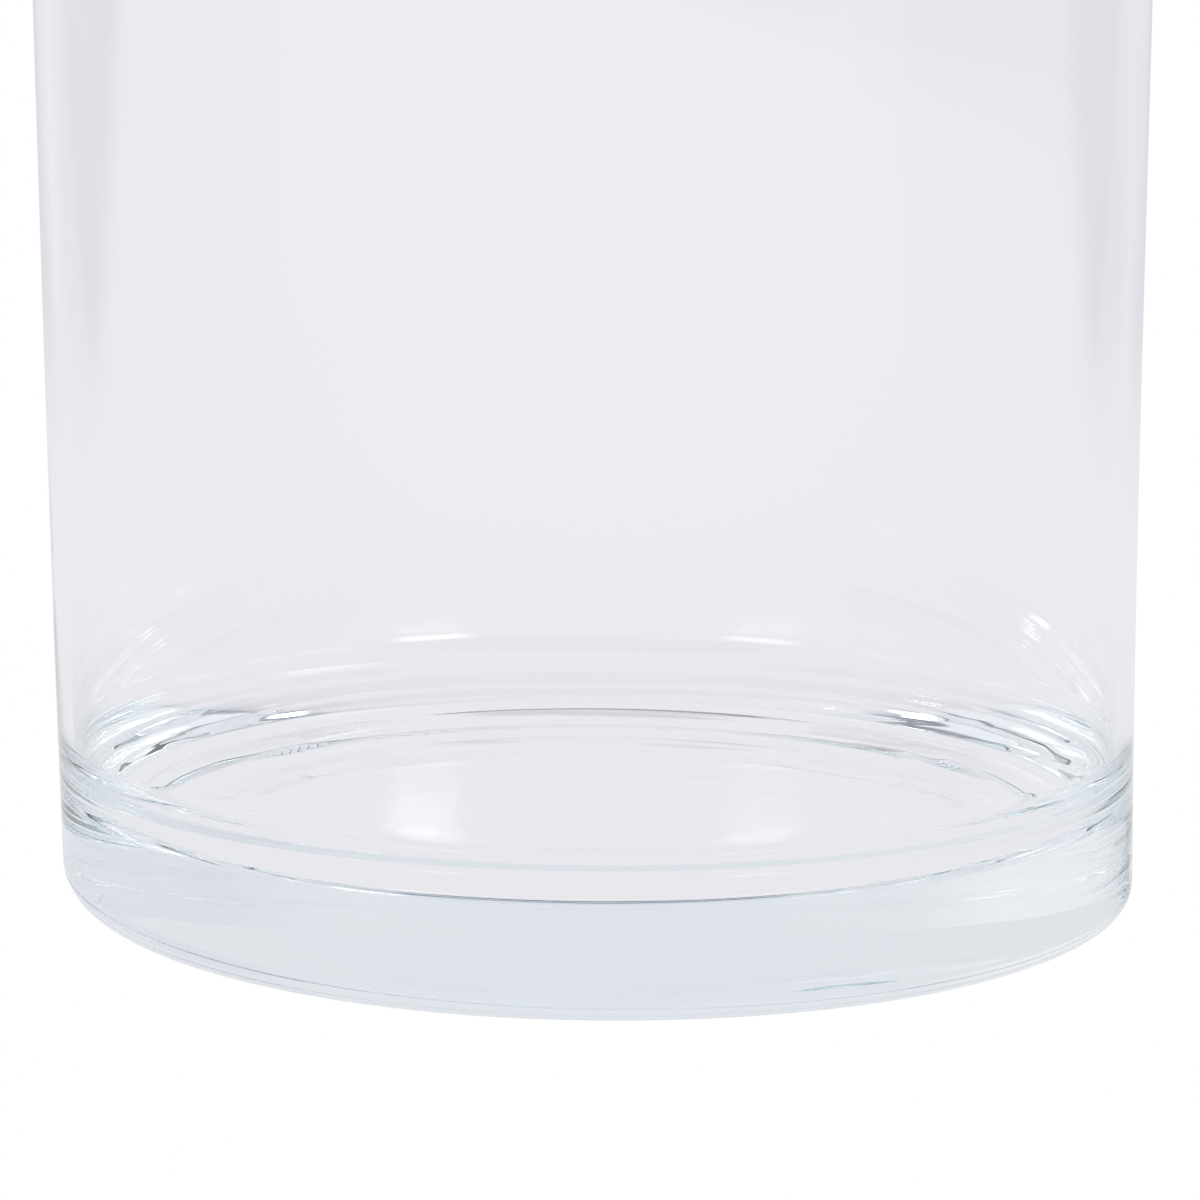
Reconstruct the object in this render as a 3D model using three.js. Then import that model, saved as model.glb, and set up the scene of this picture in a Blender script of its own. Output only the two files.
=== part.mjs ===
// Glass cylinder vase: one piece of clear glass, a straight round wall on a thick solid base.
// Millimetres, +Z up. The origin is the centre of the foot ring, on the surface the vase stands on.
import * as THREE from "three";

// Driving dimensions
const OUTER_RADIUS = 75; // outside of the wall
const HEIGHT = 300; // foot ring to the top of the rim
const WALL_THICKNESS = 2.2; // the same all the way up
const BASE_THICKNESS = 12.5; // foot plane to the inner floor
const FLOOR_FILLET = 15.5; // big round inside corner, where the wall runs into the floor
const FOOT_CORNER = 3.8; // outside corner, where the wall runs into the foot ring
const FOOT_RING_WIDTH = 10; // the flat ring that the vase stands on
const PUSH_UP = 0.6; // rise of the shallow hollow under the base, at its centre

// How finely the round shapes are cut
const WALL_SIDES = 96;
const CURVE_STEPS = 4;

const GLASS_COLOUR = 0xdfe6ea;
const GLASS_ROUGHNESS = 0.03;
const GLASS_OPACITY = 0.35;

// Half of the vase's section, as radius and height, from the axis underneath to the axis inside.
function sectionOutline() {
  const innerRadius = OUTER_RADIUS - WALL_THICKNESS;
  const footOuter = OUTER_RADIUS - FOOT_CORNER;
  const footInner = footOuter - FOOT_RING_WIDTH;
  const rimRadius = WALL_THICKNESS / 2;
  const rimCentre = HEIGHT - rimRadius;
  const filletCentre = BASE_THICKNESS + FLOOR_FILLET;

  const outline = new THREE.Path();
  outline.moveTo(0, PUSH_UP);
  outline.quadraticCurveTo(footInner * 0.55, PUSH_UP, footInner, 0);
  outline.lineTo(footOuter, 0);
  outline.absarc(footOuter, FOOT_CORNER, FOOT_CORNER, -Math.PI / 2, 0);
  outline.lineTo(OUTER_RADIUS, rimCentre);
  outline.absarc(OUTER_RADIUS - rimRadius, rimCentre, rimRadius, 0, Math.PI);
  outline.lineTo(innerRadius, filletCentre);
  outline.absarc(innerRadius - FLOOR_FILLET, filletCentre, FLOOR_FILLET, 0, -Math.PI / 2, true);
  outline.lineTo(0, BASE_THICKNESS);
  return outline.getPoints(CURVE_STEPS);
}

// The wall, the base and the rim are one body of glass, turned about the vertical axis.
function vaseBody() {
  const geometry = new THREE.LatheGeometry(sectionOutline(), WALL_SIDES);
  geometry.rotateX(Math.PI / 2); // the lathe turns about Y, and the vase stands along Z
  const glass = new THREE.MeshStandardMaterial({
    color: GLASS_COLOUR,
    roughness: GLASS_ROUGHNESS,
    metalness: 0,
    transparent: true,
    opacity: GLASS_OPACITY,
  });
  const mesh = new THREE.Mesh(geometry, glass);
  mesh.name = "vase_body";
  return mesh;
}

const vase = new THREE.Group();
vase.add(vaseBody());

export default vase;
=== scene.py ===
"""Glass cylinder vase on a white light table, seen from a little above its base.

One piece of hand-finished clear glass replaces the plain CAD solid. Metres, +Z up.
Azimuths are degrees from +Y (the far side) towards +X (the right).
"""
import math

import bpy
import numpy as np
from mathutils import Matrix, Vector


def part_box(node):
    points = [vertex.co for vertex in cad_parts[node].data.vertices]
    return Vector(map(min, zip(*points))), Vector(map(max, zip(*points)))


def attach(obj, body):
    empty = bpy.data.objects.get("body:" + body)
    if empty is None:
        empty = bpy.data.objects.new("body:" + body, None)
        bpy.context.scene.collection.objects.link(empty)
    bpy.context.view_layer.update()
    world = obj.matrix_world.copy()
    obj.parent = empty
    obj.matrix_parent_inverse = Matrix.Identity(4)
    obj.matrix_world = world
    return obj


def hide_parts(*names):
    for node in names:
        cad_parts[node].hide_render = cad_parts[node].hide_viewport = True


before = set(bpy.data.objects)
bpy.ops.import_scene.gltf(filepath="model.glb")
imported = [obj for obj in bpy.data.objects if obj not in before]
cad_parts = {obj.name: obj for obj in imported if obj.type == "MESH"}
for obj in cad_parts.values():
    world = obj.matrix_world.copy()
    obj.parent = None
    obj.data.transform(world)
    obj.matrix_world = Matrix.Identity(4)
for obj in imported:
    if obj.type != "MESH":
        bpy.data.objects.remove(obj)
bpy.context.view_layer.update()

# ---------------------------------------------------------------- sizes
low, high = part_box("vase_body")
RADIUS = (high.x - low.x) / 2
HEIGHT = high.z - low.z
WALL = 0.0022
BASE = 0.0125  # foot plane to the inner floor
FILLET = 0.0155  # inside corner, where it leaves the floor
FILLET_STEEP = 62  # slope in degrees where that corner turns tighter
FILLET_TOP = 0.007  # inside corner, where it meets the wall
FOOT_CORNER = 0.0040  # outside bottom corner, as an average round the foot
FOOT_UNEVEN = 0.0011  # how much tighter that corner is on the right, and rounder on the left
FOOT_RING = 0.0035  # width of the flat ring it stands on
SIDE_HOLLOW = 0.0009  # depth of the two shallow hollows under the base, left and right
LEAN = 0.009  # drift of the wall towards -X for each metre of height
TAPER = 0.06  # growth of the radius for each metre of height, as a share of it
TAPER_FROM = 0.045  # height where the radius is the stated one
TAPER_TO = 0.130  # height where that growth stops
FLARE = 0.00075  # how far the right side spreads at the foot
TUCK = 0.0005  # how far the left side pulls in at the foot
FLARE_TOP = 0.090  # height where both begin
FLARE_BEND = 2.6  # how much of both comes close to the foot

# marks of the making, in metres and degrees of azimuth
RIPPLE_PLACE = 0.0555  # radius of the middle of the inner corner's ripples
RIPPLE_SPREAD = 0.0080
COARSE_RIPPLE = 0.000042  # height of the wide ripples
COARSE_PITCH = 0.0056
FINE_RIPPLE = 0.000006
FINE_PITCH = 0.0024
RIDGES = ((104, 0.00007), (-102, 0.00004))  # azimuth and height of the ridges at the foot
RIDGE_WIDTH = 1.1
RIDGE_PLACE = 0.0065  # height of their middle above the foot plane
RIDGE_SPREAD = 0.0040
STREAK_DEPTH = 0.000060  # depth of the slanting streaks inside the right wall
STREAK_AZIMUTH = 98
STREAK_WIDTH = 16
STREAK_PLACE = 0.036  # height of their middle above the foot plane
STREAK_SPREAD = 0.012
STREAK_PITCH = 0.0080
STREAK_SLANT = 2.6
HOLLOW_REACH = 0.030  # how far from the middle the two hollows reach their depth

# where the rows of faces change their spacing
AROUND = 480  # columns of faces round the axis
CLOSE_ROWS_TOP = 0.03  # height on the outside
CLOSE_ROWS_RADIUS = 0.036  # radius on the inner floor


# ---------------------------------------------------------------- the glass
def arc(centre, radius, start, end, steps):
    """Points on an arc in the section plane, as (distance from the axis, height)."""
    turns = np.linspace(start, end, steps + 1)
    return [(centre[0] + radius * math.cos(t), centre[1] + radius * math.sin(t)) for t in turns]


def straight(start, end, steps):
    """Evenly spaced points on a line, without its first one."""
    ts = np.linspace(0, 1, steps + 1)[1:]
    return [(start[0] + (end[0] - start[0]) * t, start[1] + (end[1] - start[1]) * t) for t in ts]


def outer_section(corner):
    """The half section outside the glass, from the axis underneath to the top of the rim."""
    foot_outer = RADIUS - corner
    foot_inner = RADIUS - FOOT_CORNER - FOOT_RING
    rim = WALL / 2
    hollow = [(foot_inner * t, SIDE_HOLLOW * (1 - t * t)) for t in np.linspace(0, 1, 33)]
    points = list(hollow)
    points += straight(hollow[-1], (foot_outer, 0), 8)
    points += arc((foot_outer, corner), corner, -math.pi / 2, 0, 16)[1:]
    points += straight((RADIUS, corner), (RADIUS, CLOSE_ROWS_TOP), 14)
    points += straight((RADIUS, CLOSE_ROWS_TOP), (RADIUS, HEIGHT - rim), 30)
    points += arc((RADIUS - rim, HEIGHT - rim), rim, 0, math.pi / 2, 6)[1:]
    return points


def inner_section():
    """The half section inside the glass, from the rim down to the axis on the floor."""
    inner = RADIUS - WALL
    rim = WALL / 2
    points = arc((RADIUS - rim, HEIGHT - rim), rim, math.pi / 2, math.pi, 6)[1:]
    turn = math.radians(FILLET_STEEP)
    upper_height = BASE + FILLET * (1 - math.cos(turn)) + FILLET_TOP * math.cos(turn)
    upper = (inner - FILLET_TOP, upper_height)
    edge = inner - FILLET_TOP * (1 - math.sin(turn)) - FILLET * math.sin(turn)
    points += straight((inner, HEIGHT - rim), (inner, upper[1]), 34)
    points += arc(upper, FILLET_TOP, 0, turn - math.pi / 2, 30)[1:]
    points += arc((edge, BASE + FILLET), FILLET, turn - math.pi / 2, -math.pi / 2, 50)[1:]
    points += straight((edge, BASE), (CLOSE_ROWS_RADIUS, BASE), 50)
    points += straight((CLOSE_ROWS_RADIUS, BASE), (0, BASE), 8)
    return points


def bump(value, centre, width):
    """A smooth hill of height 1."""
    return np.exp(-(((value - centre) / width) ** 2))


def turn_gap(azimuth, centre):
    """Signed angle in degrees from a centre azimuth, the short way round."""
    return (azimuth - centre + 180) % 360 - 180


def foot_ridges(height, azimuth):
    """Outward height of the two thin crooked ridges low on the outside, in metres."""
    total = 0
    for place, size in RIDGES:
        crooked = place + 0.9 * np.sin(height * 1100) + 0.4 * np.sin(height * 2900 + 1)
        total = total + size * bump(turn_gap(azimuth, crooked), 0, RIDGE_WIDTH)
    return total * bump(height, RIDGE_PLACE, RIDGE_SPREAD)


def wall_streaks(height, azimuth):
    """Depth of the slanting streaks low on the inside of the right wall, in metres."""
    across = bump(turn_gap(azimuth, STREAK_AZIMUTH), 0, STREAK_WIDTH)
    reach = across * bump(height, STREAK_PLACE, STREAK_SPREAD)
    slant = height / STREAK_PITCH - np.radians(azimuth) * STREAK_SLANT
    return STREAK_DEPTH * reach * np.sin(2 * math.pi * slant)


def chill_ripples(radius, azimuth):
    """Height of the ripples that the mould left in the inner corner, in metres."""
    a = np.radians(azimuth)
    left = bump(turn_gap(azimuth, -68), 0, 38)
    right_side = bump(turn_gap(azimuth, 62), 0, 40)
    wander = 0.0016 * np.sin(2 * a + 0.6) + 0.0007 * np.sin(5 * a)
    jagged = 0.0013 * np.sin(11 * a + 0.4) + 0.0006 * np.sin(23 * a)
    place = radius + wander + jagged * right_side
    reach = bump(radius, RIPPLE_PLACE, RIPPLE_SPREAD)
    coarse = np.sin(2 * math.pi * place / COARSE_PITCH)
    fine = np.sin(2 * math.pi * place / FINE_PITCH + 1.1)
    front = bump(turn_gap(azimuth, -118), 0, 20) + bump(turn_gap(azimuth, 118), 0, 18)
    gain = 0.12 + 0.3 * left + 0.42 * right_side + 2.4 * front
    return reach * gain * (COARSE_RIPPLE * coarse + FINE_RIPPLE * fine)


def vase_mesh(name):
    """The closed skin of the glass: one column of points for each azimuth."""
    azimuths = np.arange(AROUND) * 360 / AROUND
    inside = np.array(inner_section())
    columns = []
    for azimuth in azimuths:
        corner = FOOT_CORNER - FOOT_UNEVEN * math.sin(math.radians(azimuth))
        columns.append(np.vstack([outer_section(corner), inside]))
    grid = np.array(columns)  # azimuth, point, (radius, height)
    radius, height = grid[..., 0], grid[..., 1]
    count = radius.shape[1]
    azimuth = azimuths[:, None]
    sine, cosine = np.sin(np.radians(azimuth)), np.cos(np.radians(azimuth))

    on_inside = np.arange(count)[None, :] >= count - len(inside)
    within_ring = radius < RADIUS - FOOT_CORNER - FOOT_RING
    under = (height < SIDE_HOLLOW * 1.001) & within_ring & ~on_inside
    height = np.where(under, height * (1 - bump(radius * sine, 0, HOLLOW_REACH)), height)

    # ripples push the inner corner along its own normal
    in_corner = on_inside & (height < BASE + FILLET)
    wave = np.where(in_corner, chill_ripples(radius, azimuth), 0)
    tilt = np.clip((radius - (RADIUS - WALL - FILLET)) / FILLET, 0, 1)
    radius = radius - wave * tilt
    height = height + wave * np.sqrt(1 - tilt ** 2)

    radius = radius + np.where(on_inside, 0, foot_ridges(height, azimuth))
    radius = radius - np.where(on_inside, wall_streaks(height, azimuth), 0)

    # the right side spreads towards the foot, and the wall is a little out of true
    radius = radius * (1 + TAPER * (np.minimum(height, TAPER_TO) - TAPER_FROM))
    lowness = np.clip(1 - height / FLARE_TOP, 0, 1) ** FLARE_BEND
    spread = FLARE * np.clip(sine, 0, 1) ** 2 - TUCK * np.clip(-sine, 0, 1) ** 2
    radius = radius * (1 + spread * lowness / RADIUS)
    x = radius * sine - LEAN * height
    y = radius * cosine
    points = np.stack([x, y, height], -1)

    bottom, top = points[0, 0], points[0, -1]
    middle = points[:, 1:-1].reshape(-1, 3)
    rows = count - 2
    verts = [tuple(bottom)] + [tuple(p) for p in middle] + [tuple(top)]
    last = len(verts) - 1
    faces = []
    for col in range(AROUND):
        here = 1 + col * rows
        after = 1 + (col + 1) % AROUND * rows
        faces.append((0, here, after))
        for row in range(rows - 1):
            faces.append((here + row, here + row + 1, after + row + 1, after + row))
        faces.append((here + rows - 1, last, after + rows - 1))
    mesh = bpy.data.meshes.new(name)
    mesh.from_pydata(verts, [], faces)
    mesh.update()
    mesh.polygons.foreach_set("use_smooth", [True] * len(mesh.polygons))
    piece = bpy.data.objects.new(name, mesh)
    bpy.context.scene.collection.objects.link(piece)
    return piece


def glass_material():
    material = bpy.data.materials.new("clear_glass")
    material.use_nodes = True
    nodes = material.node_tree.nodes
    links = material.node_tree.links
    shader = nodes["Principled BSDF"]
    shader.inputs["Base Color"].default_value = (1, 1, 1, 1)
    shader.inputs["Transmission Weight"].default_value = 1.0
    shader.inputs["Roughness"].default_value = 0.0
    shader.inputs["IOR"].default_value = 1.52
    place = nodes.new("ShaderNodeTexCoord")
    drawn = nodes.new("ShaderNodeMapping")
    drawn.inputs["Scale"].default_value = (55, 55, 9)  # long vertical waves
    waves = nodes.new("ShaderNodeTexNoise")
    waves.inputs["Scale"].default_value = 1.0
    waves.inputs["Detail"].default_value = 1.0
    relief = nodes.new("ShaderNodeBump")
    relief.inputs["Strength"].default_value = 0.5
    relief.inputs["Distance"].default_value = 0.00008
    links.new(place.outputs["Object"], drawn.inputs["Vector"])
    links.new(drawn.outputs["Vector"], waves.inputs["Vector"])
    links.new(waves.outputs["Fac"], relief.inputs["Height"])
    links.new(relief.outputs["Normal"], shader.inputs["Normal"])
    absorb = nodes.new("ShaderNodeVolumeAbsorption")
    absorb.inputs["Color"].default_value = (0.15, 0.58, 0.66, 1)
    absorb.inputs["Density"].default_value = 1.0
    links.new(absorb.outputs["Volume"], nodes["Material Output"].inputs["Volume"])
    return material


vase = vase_mesh("vase_glass")
vase.data.materials.append(glass_material())
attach(vase, "root")
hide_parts("vase_body")

# ---------------------------------------------------------------- the studio
DISTANCE = 0.4967  # from the camera to the vase's axis, along the table
PAPER = (1.0, 1.0, 1.0)  # table and background where they are seen directly
TENT = (0.845, 0.838, 0.875)  # the same, where they are seen through or in the glass
BRIGHT_SIDE = (0.97, 0.96, 0.99)  # through or in the glass, on the camera's side
# painted shade: the table is dimmer towards the right
TABLE_RIGHT_SHADE = (0.80, 0.795, 0.84)
# painted shadow: the table is a little dimmer close round the vase
TABLE_SHADE_BY_VASE = (0.825, 0.818, 0.852)
# painted shade: the table is darker in a far wedge that opens away from the camera
TABLE_WEDGE_SHADE = (0.70, 0.69, 0.74)
TABLE_SIDE = 60.0  # half a side of the table, so that its far edge stays out of sight
TABLE_DROP = 0.0002  # gap under the foot ring
# name: azimuth, elevation, half width, half height, softness (tangents), colour
CARDS = {
    "grey_over_camera": (180, 46, 0.98, 0.17, 0.12, (0.45, 0.46, 0.52)),
    "flag_over_camera": (180, 46, 0.64, 0.19, 0.10, (0.05, 0.07, 0.14)),
    "bright_camera_side": (180, 10, 2.0, 0.42, 0.30, BRIGHT_SIDE),
    "cool_back": (0, 18, 0.40, 0.24, 0.20, (0.835, 0.828, 0.862)),
    "bright_left_back": (-46, 14, 0.32, 0.30, 0.25, (0.93, 0.905, 0.93)),
    "dim_right_back": (48, 12, 0.45, 0.36, 0.30, (0.79, 0.765, 0.83)),
    "softbox_left": (-139, 20, 0.14, 0.09, 0.14, (5.0, 5.0, 5.1)),
    "softbox_right": (139, 20, 0.14, 0.09, 0.14, (7.0, 7.0, 7.0)),
}


class Graph:
    """Short ways to add shader nodes."""

    def __init__(self, tree):
        self.nodes = tree.nodes
        self.links = tree.links
        self.nodes.clear()

    def add(self, kind, *inputs, **settings):
        node = self.nodes.new(kind)
        for key, value in settings.items():
            setattr(node, key, value)
        for socket, value in zip(node.inputs, inputs):
            if isinstance(value, bpy.types.NodeSocket):
                self.links.new(value, socket)
            elif value is not None:
                socket.default_value = value
        return node

    def math(self, operation, *inputs):
        return self.add("ShaderNodeMath", *inputs, operation=operation).outputs[0]

    def fade(self, value, inner, outer):
        """1 below the inner value, 0 above the outer one, smooth between them."""
        ends = (value, inner, outer, 1.0, 0.0)
        return self.add("ShaderNodeMapRange", *ends, interpolation_type="SMOOTHSTEP").outputs[0]

    def dot(self, vector, axis):
        node = self.add("ShaderNodeVectorMath", vector, tuple(axis), operation="DOT_PRODUCT")
        return node.outputs["Value"]

    def mix(self, factor, first, second):
        node = self.nodes.new("ShaderNodeMix")
        node.data_type = "RGBA"
        self.links.new(factor, node.inputs["Factor"])
        for name, value in (("A", first), ("B", second)):
            socket = [s for s in node.inputs if s.name == name and s.type == "RGBA"][0]
            if isinstance(value, bpy.types.NodeSocket):
                self.links.new(value, socket)
            else:
                socket.default_value = (*value, 1)
        return [s for s in node.outputs if s.type == "RGBA"][0]


def heading(azimuth, elevation):
    a, e = math.radians(azimuth), math.radians(elevation)
    return Vector((math.sin(a) * math.cos(e), math.cos(a) * math.cos(e), math.sin(e)))


def card_mask(graph, way, azimuth, elevation, half_width, half_height, soft):
    """How much of a far soft-edged card lies in a direction."""
    axis = heading(azimuth, elevation)
    side = axis.cross(Vector((0, 0, 1))).normalized()
    rise = side.cross(axis)
    depth = graph.dot(way, axis)
    safe = graph.math("MAXIMUM", depth, 0.001)
    across = graph.math("ABSOLUTE", graph.math("DIVIDE", graph.dot(way, side), safe))
    above = graph.math("ABSOLUTE", graph.math("DIVIDE", graph.dot(way, rise), safe))
    wide = graph.fade(across, half_width - soft / 2, half_width + soft / 2)
    tall = graph.fade(above, half_height - soft / 2, half_height + soft / 2)
    facing = graph.math("GREATER_THAN", depth, 0.05)
    return graph.math("MULTIPLY", graph.math("MULTIPLY", wide, tall), facing)


def studio_world():
    world = bpy.data.worlds.new("studio")
    bpy.context.scene.world = world
    world.use_nodes = True
    graph = Graph(world.node_tree)
    way = graph.nodes.new("ShaderNodeTexCoord").outputs["Generated"]
    colour = None
    for azimuth, elevation, wide, tall, soft, paint in CARDS.values():
        mask = card_mask(graph, way, azimuth, elevation, wide, tall, soft)
        colour = graph.mix(mask, TENT if colour is None else colour, paint)
    seen = graph.nodes.new("ShaderNodeLightPath").outputs["Is Camera Ray"]
    shown = graph.mix(seen, colour, PAPER)
    background = graph.add("ShaderNodeBackground", shown)
    graph.add("ShaderNodeOutputWorld", background.outputs[0])


def light_table():
    side = TABLE_SIDE
    corners = [(-side, -side, 0), (side, -side, 0), (side, side, 0), (-side, side, 0)]
    mesh = bpy.data.meshes.new("light_table")
    mesh.from_pydata(corners, [], [(0, 1, 2, 3)])
    piece = bpy.data.objects.new("light_table", mesh)
    piece.location.z = -TABLE_DROP
    material = bpy.data.materials.new("light_table")
    material.use_nodes = True
    graph = Graph(material.node_tree)
    seen = graph.nodes.new("ShaderNodeLightPath").outputs["Is Camera Ray"]
    place = graph.nodes.new("ShaderNodeTexCoord").outputs["Object"]
    rightward = graph.dot(place, (1, 0, 0))
    # painted shade: the table goes dimmer towards the right
    clear_of_right_shade = graph.fade(rightward, 0.15, 0.90)
    glow = graph.mix(clear_of_right_shade, TABLE_RIGHT_SHADE, TENT)
    # painted light: it is brighter out by the camera, in the arc of the bright card above it,
    # and painted shadow: a little dimmer close round the vase
    forward = graph.dot(place, (0, -1, 0))
    camera_side_light = graph.math("SUBTRACT", 1.0, graph.fade(forward, 0.15, 0.60))
    aside = graph.math("DIVIDE", rightward, graph.math("MAXIMUM", forward, 0.01))
    within = graph.fade(graph.math("ABSOLUTE", aside), 1.85, 2.15)
    camera_side_light = graph.math("MULTIPLY", camera_side_light, within)
    glow = graph.mix(camera_side_light, glow, BRIGHT_SIDE)
    from_vase = graph.add("ShaderNodeVectorMath", place, operation="LENGTH").outputs["Value"]
    glow = graph.mix(graph.fade(from_vase, 0.10, 0.35), glow, TABLE_SHADE_BY_VASE)
    # painted shade: the table darkens beyond a wedge that opens away from the camera, and clears again
    # further out
    behind = graph.math("ADD", graph.dot(place, (0, 1, 0)), DISTANCE)
    slant = graph.math("ABSOLUTE", graph.math("DIVIDE", rightward, graph.math("MAXIMUM", behind, 0.01)))
    wedge_shade = graph.math("SUBTRACT", graph.fade(slant, 0.28, 0.46), graph.fade(slant, 0.175, 0.21))
    far = graph.math("SUBTRACT", 1.0, graph.fade(behind, 0.70, 1.50))
    glow = graph.mix(graph.math("MULTIPLY", wedge_shade, far), glow, TABLE_WEDGE_SHADE)
    shown = graph.mix(seen, glow, PAPER)
    emission = graph.add("ShaderNodeEmission", shown)
    graph.add("ShaderNodeOutputMaterial", emission.outputs[0])
    mesh.materials.append(material)
    bpy.context.scene.collection.objects.link(piece)


light_table()
studio_world()

# ---------------------------------------------------------------- the camera
camera_data = bpy.data.cameras.new("camera")
camera_data.lens = 108
camera_data.sensor_width = 36
camera_data.clip_start = 0.02
camera_data.clip_end = 200
camera = bpy.data.objects.new("camera", camera_data)
bpy.context.scene.collection.objects.link(camera)
bpy.context.scene.camera = camera
RISE = 0.1257  # height above the table
PITCH, ROLL, TURN = 9.80, 0.45, 0.06
pitch, roll, turn = math.radians(PITCH), math.radians(ROLL), math.radians(TURN)
ahead = Vector((math.sin(turn) * math.cos(pitch), math.cos(turn) * math.cos(pitch), -math.sin(pitch)))
right = Vector((math.cos(turn), -math.sin(turn), 0))
up = right.cross(ahead)
right, up = math.cos(roll) * right + math.sin(roll) * up, math.cos(roll) * up - math.sin(roll) * right
axes = Matrix((right, up, -ahead)).transposed().to_4x4()
axes.translation = Vector((0, -DISTANCE, RISE))
camera.matrix_world = axes

view_settings = bpy.context.scene.view_settings
view_settings.view_transform = "Standard"
view_settings.look = "None"
# light runs round inside the thick base many times before it leaves
BOUNCES = 128
bpy.context.scene.cycles.max_bounces = BOUNCES
bpy.context.scene.cycles.transmission_bounces = BOUNCES
bpy.context.scene.cycles.glossy_bounces = BOUNCES
